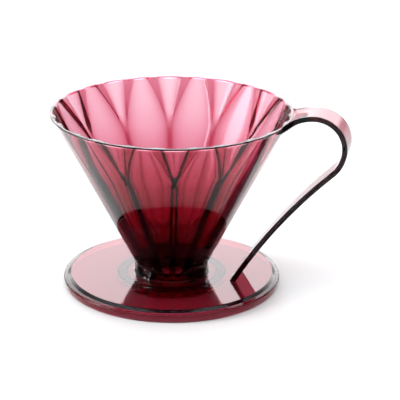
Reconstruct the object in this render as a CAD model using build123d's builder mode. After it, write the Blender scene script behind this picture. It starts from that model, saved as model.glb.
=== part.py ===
from build123d import *

import os
from math import cos, radians, sin, tan

# Pour over coffee dripper: a clear resin cone with petal relief on a round stand plate.
# The cone's axis is Z. The plane Z = 0 is the one that the plate's lip stands on, +X points
# at the handle, and all lengths are in millimetres.

# Stand plate: a flat disc, a rounded shoulder that steps down, and the lip it stands on.
# Its radius is that of the lip's corner before rounding, which takes off just under 0.3.
plate_radius = 52.9
plate_top = 5.4
plate_thickness = 1.6
shoulder_radius = 49.0
shoulder_foot_radius = 50.6
shoulder_rounding = 0.8
lip_height = 4.25
lip_width = 2.5
lip_edge_drop = 0.4
lip_foot_radius = 51.8
lip_rounding = 1.0

# Cone, outside
rim_radius = 58.0
rim_height = 87.0
rim_bead_height = 1.4
wall_radius_at_rim = 57.5
wall_radius_at_plate = 15.0
spout_radius = 14.0
spout_bottom = 0.8

# Cone, inside: a 60 degree cone that fits a standard cone filter
filter_half_angle = 30.0
land_radius_at_rim = 55.4
drain_radius = 9.0

# Petals: wide scoops, and narrow flutes in the spandrels between them
petal_count = 12
petal_step = 360 / petal_count
# (height, half angle of the scoop's outline in degrees, depth below the lands)
wide_stations = [
    (10.0, 14.0, 0.8),
    (25.0, 15.0, 1.5),
    (45.0, 15.0, 1.9),
    (65.0, 15.2, 2.0),
    (76.0, 9.0, 1.6),
    (88.0, 3.0, 1.1),
]
flute_start_height = 66.8
flute_start_radius = 0.3
flute_half_angle_at_rim = 6.3
flute_depth_at_rim = 1.3

# Collar round the neck, and centring ring under the plate
collar_radius = 17.8
collar_top = 10.4
collar_foot_radius = 18.4
collar_foot_height = 0.1
ring_outer_radius = 26.4
ring_inner_radius = 21.5
ring_depth = 3.2

# Handle strap: a loop, and a leg that runs back to the plate
strap_width = 16.0
strap_thickness = 2.5
loop_centre_x = 69.9
loop_centre_z = 75.9
loop_radius = 14.25
lower_loop_radius = 16.75
root_angle = 120.0
lower_loop_sweep = 47.0
foot_x = 32.0
root_bend_radius = 6.0
root_flare_radius = 14.0
root_flare_bottom = 80.0


def land_radius(height):
    """Radius of the lands, the surface that the filter paper lies against."""
    return land_radius_at_rim - (rim_height - height) * tan(radians(filter_half_angle))


def scoop_circle(height, half_angle, depth):
    """Centre distance and radius of the circle that cuts a scoop out of the lands."""
    lands = land_radius(height)
    half_chord = lands * sin(radians(half_angle))
    sagitta = depth + lands * (1 - cos(radians(half_angle)))
    radius = (half_chord**2 + sagitta**2) / (2 * sagitta)
    return lands + depth - radius, radius


wall_slope = (wall_radius_at_rim - wall_radius_at_plate) / (rim_height - plate_top)
bead_bottom = rim_height - rim_bead_height
wall_at_bead = wall_radius_at_rim - rim_bead_height * wall_slope
wall_at_collar_top = wall_radius_at_plate + (collar_top - plate_top) * wall_slope
drain_top = rim_height - (land_radius_at_rim - drain_radius) / tan(radians(filter_half_angle))

# The cone's outer shape as a full solid
with BuildPart() as cone_envelope:
    with BuildSketch(Plane.XZ):
        with BuildLine():
            Polyline(
                (0, spout_bottom),
                (spout_radius, spout_bottom),
                (spout_radius, plate_top),
                (wall_radius_at_plate, plate_top),
                (wall_at_bead, bead_bottom),
                (rim_radius, bead_bottom + rim_bead_height / 2),
                (rim_radius, rim_height),
                (0, rim_height),
                close=True,
            )
        make_face()
    revolve(axis=Axis.Z)

# One wide scoop, centred on the XZ plane
with BuildPart() as wide_scoop:
    for height, half_angle, depth in wide_stations:
        centre, radius = scoop_circle(height, half_angle, depth)
        with BuildSketch(Plane.XY.offset(height)):
            with Locations((centre, 0)):
                Circle(radius)
    loft()

# One narrow flute, centred half a petal step from the XZ plane
with BuildPart() as narrow_flute:
    turn = radians(petal_step / 2)
    for height, centre, radius in [
        (flute_start_height, land_radius(flute_start_height) - flute_start_radius, flute_start_radius),
        (rim_height, *scoop_circle(rim_height, flute_half_angle_at_rim, flute_depth_at_rim)),
    ]:
        with BuildSketch(Plane.XY.offset(height)):
            with Locations((centre * cos(turn), centre * sin(turn))):
                Circle(radius)
    loft(ruled=True)

# Cone with its lands, petals and drain hole
with BuildPart() as petal_cone:
    add(cone_envelope.part)
    with BuildSketch(Plane.XZ):
        with BuildLine():
            Polyline(
                (0, spout_bottom),
                (drain_radius, spout_bottom),
                (drain_radius, drain_top),
                (land_radius_at_rim, rim_height),
                (0, rim_height),
                close=True,
            )
        make_face()
    revolve(axis=Axis.Z, mode=Mode.SUBTRACT)
    with PolarLocations(0, petal_count):
        add(wide_scoop.part, mode=Mode.SUBTRACT)
    with PolarLocations(0, petal_count):
        add(narrow_flute.part, mode=Mode.SUBTRACT)

# Stand plate, with a hole for the spout
with BuildPart() as stand_plate:
    with BuildSketch(Plane.XZ):
        with BuildLine():
            Polyline(
                (spout_radius, plate_top),
                (spout_radius, plate_top - plate_thickness),
                (plate_radius - lip_width, plate_top - plate_thickness),
                (plate_radius - lip_width, 0),
                (lip_foot_radius, 0),
                (plate_radius, lip_height - lip_edge_drop),
                (shoulder_foot_radius, lip_height),
                (shoulder_radius, plate_top),
                close=True,
            )
        make_face()
        fillet(vertices().sort_by(Axis.X)[-1], lip_rounding)
        fillet(vertices().group_by(Axis.Y)[-1].sort_by(Axis.X)[-1], shoulder_rounding)
    revolve(axis=Axis.Z)

# Collar: fills the corner between the cone and the plate
with BuildPart() as neck_collar:
    with BuildSketch(Plane.XZ):
        with BuildLine():
            Polyline(
                (collar_radius, plate_top + collar_foot_radius - collar_radius + collar_foot_height),
                (collar_radius, collar_top),
                (wall_at_collar_top, collar_top),
                (wall_radius_at_plate, plate_top),
                (collar_foot_radius, plate_top),
                (collar_foot_radius, plate_top + collar_foot_height),
            )
            RadiusArc(
                (collar_foot_radius, plate_top + collar_foot_height),
                (collar_radius, plate_top + collar_foot_radius - collar_radius + collar_foot_height),
                collar_foot_radius - collar_radius,
            )
        make_face()
    revolve(axis=Axis.Z)

# Centring ring under the plate, which locates the dripper in the mouth of a server
with BuildPart() as centring_ring:
    with BuildSketch(Plane.XY.offset(plate_top - plate_thickness)):
        Circle(ring_outer_radius)
        Circle(ring_inner_radius, mode=Mode.SUBTRACT)
    extrude(amount=-ring_depth)
    chamfer(centring_ring.edges().group_by(Axis.Z)[0], 0.4)

# Side view of the strap, as a band round its centre line
with BuildSketch(Plane.XZ) as strap_side:
    with BuildLine():
        loop_top = CenterArc((loop_centre_x, loop_centre_z), loop_radius, root_angle, -root_angle)
        loop_bottom = CenterArc(
            (loop_centre_x + loop_radius - lower_loop_radius, loop_centre_z),
            lower_loop_radius,
            0,
            -lower_loop_sweep,
        )
        root_z = rim_height - strap_thickness / 2
        root_bend_x = (loop_top @ 0).X - ((loop_top @ 0).Y - root_z) * tan(radians(180 - root_angle))
        FilletPolyline(
            (root_bend_x - 4 * strap_thickness, root_z),
            (root_bend_x, root_z),
            loop_top @ 0,
            radius=root_bend_radius,
        )
        leg = TangentArc(loop_bottom @ 1, (foot_x, plate_top), tangent=loop_bottom % 1)
        Line(leg @ 1, leg @ 1 + (leg % 1) * strap_thickness)
    trace(line_width=strap_thickness)

# Plan view of the root: the strap's sides run into the rim's circle in tangent curves
with BuildPart() as root_flare:
    with BuildSketch(Plane.XY.offset(root_flare_bottom)):
        Circle(rim_radius)
        with Locations((rim_radius, 0)):
            Rectangle(rim_radius, strap_width)
        fillet(vertices().group_by(Axis.X)[0], root_flare_radius)
    extrude(amount=2 * (rim_height - root_flare_bottom))

with BuildPart() as flared_root:
    flare_centre_y = strap_width / 2 + root_flare_radius
    flare_half_width = rim_radius * flare_centre_y / (rim_radius + root_flare_radius)
    extrude(strap_side.sketch, amount=flare_half_width, both=True)
    add(root_flare.part, mode=Mode.INTERSECT)

# Handle strap, cut to the cone's outer face and to the plate's top face
with BuildPart() as handle_strap:
    extrude(strap_side.sketch, amount=strap_width / 2, both=True)
    add(flared_root.part)
    add(cone_envelope.part, mode=Mode.SUBTRACT)
    with Locations((0, 0, plate_top)):
        Box(
            2 * plate_radius,
            2 * strap_width,
            plate_top,
            align=(Align.CENTER, Align.CENTER, Align.MAX),
            mode=Mode.SUBTRACT,
        )

petal_cone.part.label = "petal_cone"
stand_plate.part.label = "stand_plate"
neck_collar.part.label = "neck_collar"
centring_ring.part.label = "centring_ring"
handle_strap.part.label = "handle_strap"

os.makedirs("parts", exist_ok=True)
export_step(petal_cone.part, "parts/petal_cone.step")
export_step(stand_plate.part, "parts/stand_plate.step")
export_step(neck_collar.part, "parts/neck_collar.step")
export_step(centring_ring.part, "parts/centring_ring.step")
export_step(handle_strap.part, "parts/handle_strap.step")
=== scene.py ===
"""Looks of the pour over dripper: clear, wine red resin on a pale table in soft studio light.

The dripper's axis is Z and +X points at the handle. The pieces' lengths are in millimetres until
their mesh is made; the material, the floor and the camera are in metres. Every piece is rebuilt as
a fine mesh and stands for the CAD node of its name.
"""

from math import acos, atan2, cos, exp, hypot, pi, radians, sin, sqrt, tan

import bpy
import numpy as np
from mathutils import Matrix, Vector


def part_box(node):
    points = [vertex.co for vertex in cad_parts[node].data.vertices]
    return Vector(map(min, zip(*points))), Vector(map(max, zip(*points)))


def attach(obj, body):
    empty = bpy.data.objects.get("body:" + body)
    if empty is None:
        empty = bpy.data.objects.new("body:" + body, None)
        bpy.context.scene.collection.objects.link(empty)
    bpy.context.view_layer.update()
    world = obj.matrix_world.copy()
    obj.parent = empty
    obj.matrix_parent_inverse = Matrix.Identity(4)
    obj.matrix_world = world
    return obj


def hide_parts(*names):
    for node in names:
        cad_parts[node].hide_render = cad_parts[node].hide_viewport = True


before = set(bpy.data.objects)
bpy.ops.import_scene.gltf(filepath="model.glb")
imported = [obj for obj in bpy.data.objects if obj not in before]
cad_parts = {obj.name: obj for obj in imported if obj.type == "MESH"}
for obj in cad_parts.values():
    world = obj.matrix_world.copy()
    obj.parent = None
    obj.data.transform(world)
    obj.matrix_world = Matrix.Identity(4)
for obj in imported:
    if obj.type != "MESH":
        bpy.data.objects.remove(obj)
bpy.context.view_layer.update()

MM = 0.001


def corners(node):
    """Lowest and highest corner of a CAD node, in millimetres."""
    low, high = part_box(node)
    return low / MM, high / MM


cone_low, cone_high = corners("petal_cone")
plate_high = corners("stand_plate")[1]
ring_low, ring_high = corners("centring_ring")
strap_high = corners("handle_strap")[1]
collar_low, collar_high = corners("neck_collar")

# Sizes that the frame gives
rim_radius = cone_high.x
rim_height = cone_high.z
spout_bottom = cone_low.z
plate_edge_radius = plate_high.x
plate_top = collar_low.z
plate_underside = ring_high.z
ring_bottom = ring_low.z
collar_foot = collar_high.x
collar_top = collar_high.z
strap_reach = strap_high.x
strap_top = strap_high.z

# Plate, ring and collar; the plate's radius is that of the lip's corner before it is rounded off
lip_rounding_loss = 0.26
plate_radius = plate_edge_radius + lip_rounding_loss
shoulder_radius = 49.0
shoulder_foot_radius = 50.6
lip_height = 4.25
lip_edge_drop = 0.4
lip_width = 2.5
lip_foot_radius = 51.8
ring_inner_radius = 21.5
ring_radius = 26.4
collar_radius = 17.8

# Cone
wall_at_rim = 57.5
wall_at_plate = 15.0
spout_radius = 14.0
bead_height = 1.4
lands_at_rim = 55.4
drain_radius = 9.0
lands_slope = tan(radians(30))
inside_start = 0.5
inside_rows = 130
# Rounding of the inner edge at the rim: how far below the rim, and how far the radius has grown there
rim_edge_depth = 0.3
rim_edge = [(0.15, 0.05), (0.05, 0.15), (0.0, rim_edge_depth)]

# Petals
petal_count = 12
petal_half_step = radians(180 / petal_count)
rib_half_width = 0.6
arch_foot = 64.0
arch_tip_angle = radians(3.7)
arch_fullness = 1.1
arch_blend = radians(0.5)
petal_depth = 2.0
petal_depth_at_rim = 1.1
petal_run_in_start = 3.0
petal_run_in = 12.0
petal_fade_power = 1.5
flute_foot = 62.0
flute_angle_at_rim = radians(6.3)
flute_depth = 1.9
flute_fade = 0.6
flute_run_in = 10.0
flute_widening_power = 0.75
narrowest_flute = radians(0.3)
narrowest_land = radians(0.15)
ridge_rounding = 0.3
ridge_widening_power = 0.2

# Strap
strap_half_width = 8.0
strap_thickness = 2.5
strap_rounding = 0.35
loop_radius = 14.25
lower_loop_radius = 16.75
root_rise = radians(30)
root_bend_radius = 6.0
lower_loop_turn = radians(47)
foot_x = 32.0
flare_radius = 14.0
# The strap's stations start this far outside the rim, and these headings, in radians, tell the run
# out over the rim and the run back under it apart
root_clearance = 0.3
outgoing_heading = -0.5
returning_heading = -1.0

# Each piece runs this far into the one it is moulded to, so that light crosses the joint
joint = 0.04


# ---------------------------------------------------------------- mesh helpers


def make_piece(name, points, faces, material):
    """A smooth, closed mesh piece that rides on the body and replaces the CAD node of its name."""
    mesh = bpy.data.meshes.new(name)
    mesh.from_pydata((np.asarray(points) * MM).tolist(), [], faces)
    mesh.validate()
    mesh.polygons.foreach_set("use_smooth", [True] * len(mesh.polygons))
    mesh.materials.append(material)
    piece = bpy.data.objects.new(name + "_resin", mesh)
    bpy.context.scene.collection.objects.link(piece)
    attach(piece, "root")
    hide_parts(name)
    return piece


def grid_faces(columns, rows):
    """Quads over a grid that is closed round its columns and round its rows."""
    faces = []
    for i in range(columns):
        following = (i + 1) % columns
        for j in range(rows):
            above = (j + 1) % rows
            faces.append((i * rows + j, following * rows + j, following * rows + above, i * rows + above))
    return faces


def rounded(outline, steps=6):
    """Closed outline of (r, z, corner radius) with each corner turned into an arc."""
    points = []
    count = len(outline)
    for i, (x, z, radius) in enumerate(outline):
        here = np.array((x, z))
        before = np.array(outline[i - 1][:2]) - here
        after = np.array(outline[(i + 1) % count][:2]) - here
        if radius == 0:
            points.append(here)
            continue
        before /= np.linalg.norm(before)
        after /= np.linalg.norm(after)
        half = acos(np.clip(before @ after, -1, 1)) / 2
        centre = here + (before + after) / np.linalg.norm(before + after) * radius / sin(half)
        first = here + before * radius / tan(half) - centre
        last = here + after * radius / tan(half) - centre
        start = atan2(first[1], first[0])
        sweep = (atan2(last[1], last[0]) - start + pi) % (2 * pi) - pi
        for k in range(steps + 1):
            angle = start + sweep * k / steps
            points.append(centre + radius * np.array((cos(angle), sin(angle))))
    return points


def refined(outline, spacing, closed=True):
    """The outline with extra points on its long sides."""
    points = []
    following = [*outline[1:], outline[0]] if closed else outline[1:]
    for here, there in zip(outline, following):
        parts = max(1, round(np.linalg.norm(there - here) / spacing))
        for k in range(parts):
            points.append(here + (there - here) * k / parts)
    return points if closed else [*points, outline[-1]]


def revolved(name, outline, material, segments=288):
    """A ring whose outline runs anticlockwise in the (r, z) half-plane."""
    points = []
    for i in range(segments):
        angle = 2 * pi * i / segments
        points += [(r * cos(angle), r * sin(angle), z) for r, z in outline]
    return make_piece(name, points, grid_faces(segments, len(outline)), material)


# ---------------------------------------------------------------- pieces


def lands_radius(z):
    """Radius of the lands, the surface that the filter paper lies against."""
    return lands_at_rim - (rim_height - z) * lands_slope


def wall_radius(z):
    """Radius of the cone's outside."""
    return wall_at_plate + (z - plate_top) * (wall_at_rim - wall_at_plate) / (rim_height - plate_top)


def scoop_reach(angle, lands, half_angle, depth):
    """How far out the ellipse of a scoop reaches at that angle from its middle line, or 0 beside it."""
    across = lands * sin(half_angle)
    centre = lands * cos(half_angle)
    deep = depth + lands - centre
    sine, cosine = np.sin(angle), np.cos(angle)
    a = (sine / across) ** 2 + (cosine / deep) ** 2
    b = centre * cosine / deep**2
    c = (centre / deep) ** 2 - 1
    room = b**2 - a * c
    return np.where(room > 0, (b + np.sqrt(np.maximum(room, 0))) / a, 0)


def smooth_max(a, b, blend):
    """The larger of a and b, with the corner between them rounded."""
    overlap = np.maximum(blend - np.abs(a - b), 0) / blend
    return np.maximum(a, b) + overlap**2 * blend / 4


def smooth_min(a, b, blend):
    """The smaller of a and b, with the corner between them rounded."""
    overlap = max(blend - abs(a - b), 0) / blend
    return min(a, b) - overlap**2 * blend / 4


def rise_above(z, foot):
    """How far z has risen from the foot to the rim, from 0 to 1."""
    return min(1.0, max(0.0, (z - foot) / (rim_height - foot)))


def petal_half_angle(z):
    """Half the angle that a wide petal spans at height z: up to its ribs, then an arch."""
    beside_rib = petal_half_step - rib_half_width / lands_radius(z)
    narrowing = rise_above(z, arch_foot) ** arch_fullness
    arch = arch_tip_angle + (petal_half_step - arch_tip_angle) * (1 - narrowing)
    return smooth_min(beside_rib, arch, arch_blend)


def petal_depth_at(z):
    """Depth of a wide petal below the lands: it grows from the drain up and fades towards the rim."""
    run_in = 1 - exp((petal_run_in_start - z) / petal_run_in)
    fade = rise_above(z, flute_foot) ** petal_fade_power
    return petal_depth * run_in - (petal_depth - petal_depth_at_rim) * fade


def flute_half_angle(z):
    """Half the angle that the narrow flute between two petals spans at height z."""
    return max(narrowest_flute, flute_angle_at_rim * rise_above(z, flute_foot) ** flute_widening_power)


def flute_depth_at(z):
    """Depth of a flute below the lands: deepest a little above its foot, shallower at the rim."""
    full_height = flute_foot + flute_run_in
    return smoothstep(flute_foot, full_height, z) * (flute_depth - flute_fade * rise_above(z, full_height))


def smoothstep(low, high, value):
    """How far value has come from low to high, from 0 to 1, eased at both ends."""
    share = min(1.0, max(0.0, (value - low) / (high - low)))
    return share * share * (3 - 2 * share)


def inner_radius(angle, z):
    """Radius of the cone's inside at that angle from a wide petal's middle line."""
    lands = lands_radius(z)
    petal = scoop_reach(angle, lands, petal_half_angle(z), petal_depth_at(z))
    radius = smooth_max(np.full_like(angle, lands), petal, ridge_rounding)
    if z > flute_foot:
        flute = scoop_reach(petal_half_step - angle, lands, flute_half_angle(z), flute_depth_at(z))
        blend = ridge_rounding * rise_above(z, flute_foot) ** ridge_widening_power
        radius = smooth_max(radius, flute, blend)
    return radius


def petal_angles(z, petal=15, land=4, flute=9):
    """Angles from a wide petal's middle line to the next flute's, close together at the edges."""
    edge, flute_edge = petal_half_angle(z), petal_half_step - flute_half_angle(z)
    if flute_edge < edge + narrowest_land:
        flute_edge = edge + min(narrowest_land, (petal_half_step - edge) / 2)
    in_petal = edge * np.sin(np.linspace(0, pi / 2, petal + 1))
    on_land = np.linspace(edge, flute_edge, land + 1)[1:]
    across_flute = 1 - np.cos(np.linspace(0, pi / 2, flute + 1)[1:])
    in_flute = flute_edge + (petal_half_step - flute_edge) * across_flute
    return np.concatenate([in_petal, on_land, in_flute])


def build_cone(material):
    """The cone with its lands, petals and drain: an outer outline, and rows of points up the inside."""
    drain_top = rim_height - (lands_at_rim - drain_radius) / lands_slope
    bead_bottom = rim_height - bead_height
    outline = rounded(
        [
            (drain_radius, drain_top, 0),
            (drain_radius, spout_bottom, 0.4),
            (spout_radius, spout_bottom, 0.4),
            (spout_radius, plate_top - joint, 0),
            (wall_at_plate, plate_top - joint, 0),
            (wall_radius(bead_bottom), bead_bottom, 1.0),
            (rim_radius, bead_bottom + bead_height / 2, 0.4),
            (rim_radius, rim_height, 0.35),
            (lands_at_rim, rim_height, 0),
        ]
    )
    # The outline's last point only gives the top face its direction
    outside = refined(outline[:-1], 2.0, closed=False)

    # (height, growth of the radius) of each row, from the drain up
    highest_row = rim_height - rim_edge_depth
    levels = [(z, 0.0) for z in np.linspace(drain_top + inside_start, highest_row, inside_rows)]
    levels += [(rim_height - below, growth) for below, growth in rim_edge]
    rows = []
    for z, growth in reversed(levels):
        angles = petal_angles(z)
        rows.append((z, angles, inner_radius(angles, z) + growth))

    # Each half petal's columns, which the next half petal mirrors: (petal's middle, side, step)
    outside_angles = petal_angles(rim_height)
    steps = len(outside_angles) - 1
    columns = []
    for petal in range(petal_count):
        middle = petal * 2 * petal_half_step
        next_middle = middle + 2 * petal_half_step
        columns += [(middle, 1, step) for step in range(steps)]
        columns += [(next_middle, -1, step) for step in range(steps, 0, -1)]
    points = []
    for middle, side, step in columns:
        angle = middle + side * outside_angles[step]
        points += [(r * cos(angle), r * sin(angle), z) for r, z in outside]
        for z, angles, radii in rows:
            angle = middle + side * angles[step]
            points.append((radii[step] * cos(angle), radii[step] * sin(angle), z))
    faces = grid_faces(len(columns), len(outside) + len(rows))
    return make_piece("petal_cone", points, faces, material)


def build_plate(material):
    """The flat plate, its rounded shoulder and the lip that it stands on."""
    lip_inside = plate_radius - lip_width
    outline = rounded(
        [
            (spout_radius - joint, plate_underside, 0),
            (lip_inside, plate_underside, 0.4),
            (lip_inside, 0, 0.3),
            (lip_foot_radius, 0, 0.6),
            (plate_radius, lip_height - lip_edge_drop, 1.0),
            (shoulder_foot_radius, lip_height, 0.3),
            (shoulder_radius, plate_top, 0.8),
            (spout_radius - joint, plate_top, 0),
        ],
        8,
    )
    return revolved("stand_plate", refined(outline, 2.0), material)


def build_ring(material):
    """The centring ring, which grows down from the underside of the plate."""
    outline = rounded(
        [
            (ring_inner_radius, ring_bottom, 0.4),
            (ring_radius, ring_bottom, 0.4),
            (ring_radius, plate_underside + joint, 0),
            (ring_inner_radius, plate_underside + joint, 0),
        ],
        8,
    )
    return revolved("centring_ring", refined(outline, 1.0), material)


def build_collar(material):
    """The collar, with a small cove at its foot; its bore follows the cone's wall."""
    outline = rounded(
        [
            (wall_radius(plate_top) - joint, plate_top - joint, 0),
            (collar_foot, plate_top - joint, 0),
            (collar_radius, plate_top + collar_foot - collar_radius, 0.5),
            (collar_radius, collar_top, 0.15),
            (wall_radius(collar_top) - joint, collar_top, 0),
        ]
    )
    return revolved("neck_collar", refined(outline, 1.0), material)


def strap_path():
    """Stations (x, z, heading) along the strap's middle line, from the rim to the plate."""
    stations = []

    def add_arc(x, z, heading, radius, turn, spacing=0.8):
        """Adds an arc; a positive turn is to the left. Returns its end."""
        parts = max(2, round(abs(radius * turn) / spacing))
        side = 1 if turn > 0 else -1
        cx, cz = x - side * radius * sin(heading), z + side * radius * cos(heading)
        for k in range(1, parts + 1):
            h = heading + turn * k / parts
            stations.append((cx + side * radius * sin(h), cz - side * radius * cos(h), h))
        return stations[-1]

    loop_x = strap_reach - strap_thickness / 2 - loop_radius
    loop_z = strap_top - strap_thickness / 2 - loop_radius
    rise_x, rise_z = loop_x - loop_radius * sin(root_rise), loop_z + loop_radius * cos(root_rise)
    root_z = rim_height - strap_thickness / 2
    bend_x = rise_x - (rise_z - root_z) / tan(root_rise)
    setback = root_bend_radius * tan(root_rise / 2)
    stations.append((bend_x - setback, root_z, 0.0))
    x, z, heading = add_arc(bend_x - setback, root_z, 0.0, root_bend_radius, root_rise, 0.4)
    length = hypot(rise_x - x, rise_z - z)
    straight_parts = 3
    for k in range(1, straight_parts + 1):
        along = length * k / straight_parts
        stations.append((x + along * cos(root_rise), z + along * sin(root_rise), root_rise))
    x, z, heading = add_arc(*stations[-1], loop_radius, -root_rise - pi / 2)
    x, z, heading = add_arc(x, z, heading, lower_loop_radius, -lower_loop_turn)
    across, down = foot_x - x, plate_top - z
    bend = (atan2(down, across) - heading + pi) % (2 * pi) - pi
    add_arc(x, z, heading, hypot(across, down) / (2 * sin(abs(bend))), 2 * bend)
    return stations


def build_strap(material):
    """The strap: a rounded section along its path, which widens into the rim in two tangent curves."""
    flare_y = strap_half_width + flare_radius
    flare_x = sqrt((rim_radius + flare_radius) ** 2 - flare_y**2)
    flare_start = atan2(flare_y, flare_x)
    corner, half = strap_rounding, strap_thickness / 2

    # The section: which edge, from -1 to 1, and the offsets from it along Y and along the normal
    corner_points, face_points = 6, 15
    section = []
    for a in np.linspace(0, pi / 2, corner_points):
        section.append((1, corner * cos(a), half - corner + corner * sin(a)))
    for share in np.linspace(1, -1, face_points)[1:-1]:
        section.append((share, 0, half))
    for a in np.linspace(pi / 2, pi, corner_points):
        section.append((-1, corner * cos(a), half - corner + corner * sin(a)))
    section += [(edge, across, -lift) for edge, across, lift in section[::-1]]

    stations = strap_path()
    root_z, root_heading = stations[0][1:]
    path = [(rim_radius, root_z, root_heading)]
    for station in stations:
        if station[0] > rim_radius + root_clearance or station[2] < returning_heading:
            path.append(station)
    points = []
    for i, (x, z, heading) in enumerate(path):
        edge_x, half_width = x, strap_half_width
        if heading > outgoing_heading and x < flare_x:
            share = (x - rim_radius) / (flare_x - rim_radius)
            angle = (pi / 2 - flare_start) * (1 - share)
            edge_x = flare_x - flare_radius * sin(angle)
            half_width = flare_y - flare_radius * cos(angle)
        for edge, across, lift in section:
            y = edge * (half_width - corner) + across
            px = x - (x - edge_x) * (y / half_width) ** 2 - lift * sin(heading)
            pz = z + lift * cos(heading)
            if i == 0:
                outside = wall_radius(pz) if pz < rim_height - bead_height / 2 else rim_radius
                px = sqrt((outside - joint) ** 2 - y**2)
            if i == len(path) - 1:
                slide = (plate_top - joint - pz) / sin(heading)
                px, pz = px + slide * cos(heading), plate_top - joint
            points.append((px, y, pz))

    count = len(section)
    faces = []
    for i in range(len(path) - 1):
        for j in range(count):
            k = (j + 1) % count
            faces.append((i * count + j, i * count + k, (i + 1) * count + k, (i + 1) * count + j))
    last = (len(path) - 1) * count
    for k in range(count // 2 - 1):
        faces.append((k + 1, k, count - 1 - k, count - 2 - k))
        faces.append((last + k, last + k + 1, last + count - 2 - k, last + count - 1 - k))
    return make_piece("handle_strap", points, faces, material)


# ---------------------------------------------------------------- material


def ranged(nodes, links, value, low, high, from_low=0.35, from_high=0.65):
    """A socket's value, spread smoothly from low to high between two of its own levels."""
    spread = nodes.new("ShaderNodeMapRange")
    spread.interpolation_type = "SMOOTHSTEP"
    spread.inputs["From Min"].default_value = from_low
    spread.inputs["From Max"].default_value = from_high
    spread.inputs["To Min"].default_value = low
    spread.inputs["To Max"].default_value = high
    links.new(value, spread.inputs["Value"])
    return spread.outputs["Result"]


def resin_material():
    """Clear resin with the colour in its depth, so that thin walls are pink and thick ones dark."""
    material = bpy.data.materials.new("ruby_resin")
    material.use_nodes = True
    nodes, links = material.node_tree.nodes, material.node_tree.links
    shader = nodes["Principled BSDF"]
    shader.inputs["IOR"].default_value = 1.56
    shader.inputs["Specular Tint"].default_value = (0.35, 0.35, 0.38, 1)
    shader.inputs["Transmission Weight"].default_value = 1.0
    place = nodes.new("ShaderNodeTexCoord").outputs["Object"]

    def noise(scale, detail):
        """Noise in the object's own space; scale is in waves per metre."""
        texture = nodes.new("ShaderNodeTexNoise")
        texture.inputs["Scale"].default_value = scale
        texture.inputs["Detail"].default_value = detail
        links.new(place, texture.inputs["Vector"])
        return texture.outputs["Fac"]

    # Faint cloudiness of the resin: a slow drift between clear and barely rosy
    tint = nodes.new("ShaderNodeMix")
    tint.data_type = "RGBA"
    tint.inputs["A"].default_value = (1.0, 1.0, 1.0, 1)
    tint.inputs["B"].default_value = (1.0, 0.93, 0.95, 1)
    links.new(ranged(nodes, links, noise(45, 2), 0.0, 1.0), tint.inputs["Factor"])
    links.new(tint.outputs["Result"], shader.inputs["Base Color"])

    # Polish: almost perfect, with slightly hazier patches and specks, as handling leaves them
    polish = nodes.new("ShaderNodeMath")
    polish.operation = "ADD"
    links.new(ranged(nodes, links, noise(70, 3), 0.0, 0.012), polish.inputs[0])
    links.new(ranged(nodes, links, noise(2600, 4), 0.0, 0.012, 0.55, 0.75), polish.inputs[1])
    links.new(polish.outputs["Value"], shader.inputs["Roughness"])

    # Flow waviness of the moulding, and hairline wear on top of it
    waves = nodes.new("ShaderNodeBump")
    waves.inputs["Strength"].default_value = 0.25
    waves.inputs["Distance"].default_value = 0.00004
    links.new(noise(160, 1), waves.inputs["Height"])
    wear = nodes.new("ShaderNodeBump")
    wear.inputs["Strength"].default_value = 0.15
    wear.inputs["Distance"].default_value = 0.000004
    links.new(noise(1900, 5), wear.inputs["Height"])
    links.new(waves.outputs["Normal"], wear.inputs["Normal"])
    links.new(wear.outputs["Normal"], shader.inputs["Normal"])

    # Colour in the depth of the resin
    depth = nodes.new("ShaderNodeVolumeAbsorption")
    depth.inputs["Color"].default_value = (0.70, 0.0, 0.20, 1)
    depth.inputs["Density"].default_value = 990.0
    links.new(depth.outputs["Volume"], nodes["Material Output"].inputs["Volume"])
    return material


# ---------------------------------------------------------------- studio


def build_floor():
    """A plain, matt, pale table, a hair below the plate's lip."""
    half_size, drop = 6.0, 0.0001
    square = [(x * half_size, y * half_size, 0) for x, y in ((-1, -1), (1, -1), (1, 1), (-1, 1))]
    mesh = bpy.data.meshes.new("floor")
    mesh.from_pydata(square, [], [(0, 1, 2, 3)])
    floor = bpy.data.objects.new("floor", mesh)
    floor.location.z = -drop
    bpy.context.scene.collection.objects.link(floor)
    material = bpy.data.materials.new("pale_table")
    material.use_nodes = True
    shader = material.node_tree.nodes["Principled BSDF"]
    shader.inputs["Base Color"].default_value = (0.78, 0.78, 0.78, 1)
    shader.inputs["Roughness"].default_value = 1.0
    shader.inputs["Specular IOR Level"].default_value = 0.0
    mesh.materials.append(material)


upwards = Vector((0, 0, 1))
view_azimuth = radians(12.5)
backwards = Vector((-sin(view_azimuth), cos(view_azimuth), 0))
rightwards = Vector((cos(view_azimuth), sin(view_azimuth), 0))

# Light levels, and between which two values of a direction's share along an axis each one fades in
near_level = 0.10
backdrop_level, backdrop_fade = 4.2, (0.45, 0.93)
overhead_level, overhead_fade = 2.3, (0.45, 0.95)
horizon_level, horizon_fade = 1.05, (0.10, 0.22)
softbox_level, softbox_fade = 12.0, (cos(radians(20)), cos(radians(8)))
softbox_side = rightwards * -0.92 + backwards * -0.1 + upwards * 0.37
light_colour = (0.97, 1.0, 1.01, 1)


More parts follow.
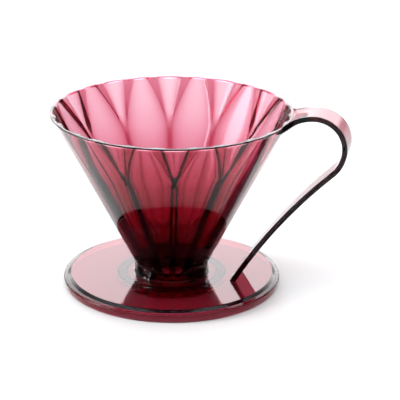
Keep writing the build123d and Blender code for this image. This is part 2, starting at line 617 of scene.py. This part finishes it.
def build_world():
    """A soft white sweep: bright behind, dim on the viewer's side, with a softbox at the left."""
    world = bpy.data.worlds.new("studio")
    bpy.context.scene.world = world
    world.use_nodes = True
    nodes, links = world.node_tree.nodes, world.node_tree.links
    direction = nodes.new("ShaderNodeTexCoord").outputs["Generated"]

    def along(axis):
        """How far the direction of sight points along an axis, from -1 to 1."""
        dot = nodes.new("ShaderNodeVectorMath")
        dot.operation = "DOT_PRODUCT"
        dot.inputs[1].default_value = axis.normalized()
        links.new(direction, dot.inputs[0])
        return dot.outputs["Value"]

    def mixed(below, above, share):
        """A blend of two levels; each is a number or a socket."""
        mix = nodes.new("ShaderNodeMix")
        mix.data_type = "FLOAT"
        links.new(share, mix.inputs["Factor"])
        for name, level in (("A", below), ("B", above)):
            if isinstance(level, float):
                mix.inputs[name].default_value = level
            else:
                links.new(level, mix.inputs[name])
        return mix.outputs["Result"]

    backdrop = ranged(nodes, links, along(backwards), near_level, backdrop_level, *backdrop_fade)
    overhead = ranged(nodes, links, along(upwards), 0.0, 1.0, *overhead_fade)
    dome = mixed(backdrop, overhead_level, overhead)
    above_horizon = ranged(nodes, links, along(upwards), 0.0, 1.0, *horizon_fade)
    sweep = mixed(horizon_level, dome, above_horizon)
    softbox = ranged(nodes, links, along(softbox_side), 0.0, softbox_level, *softbox_fade)
    total = nodes.new("ShaderNodeMath")
    total.operation = "ADD"
    links.new(sweep, total.inputs[0])
    links.new(softbox, total.inputs[1])
    background = nodes["Background"]
    background.inputs["Color"].default_value = light_colour
    links.new(total.outputs["Value"], background.inputs["Strength"])


def build_camera():
    """The camera, looking 20 degrees down across the dripper, with the handle at the right."""
    elevation, distance, roll = radians(20.39), 0.8809, 0.007
    target = Vector((0.0133, 0.00295, 0.04169))
    back = upwards * sin(elevation) - backwards * cos(elevation)
    data = bpy.data.cameras.new("camera")
    data.lens = 164.2
    data.sensor_width = 36
    camera = bpy.data.objects.new("camera", data)
    camera.location = target + back * distance
    camera.rotation_mode = "QUATERNION"
    turn = Matrix.Rotation(roll, 4, "Z").to_quaternion()
    camera.rotation_quaternion = (-back).to_track_quat("-Z", "Y") @ turn
    bpy.context.scene.collection.objects.link(camera)
    bpy.context.scene.camera = camera


resin = resin_material()
build_cone(resin)
build_plate(resin)
build_ring(resin)
build_collar(resin)
build_strap(resin)
build_floor()
build_world()
build_camera()

# Light crosses many faces of the clear pieces, so it needs many bounces
scene = bpy.context.scene
scene.view_settings.view_transform = "Standard"
scene.cycles.max_bounces = 24
scene.cycles.transmission_bounces = 24
scene.cycles.glossy_bounces = 12
scene.cycles.transparent_max_bounces = 8
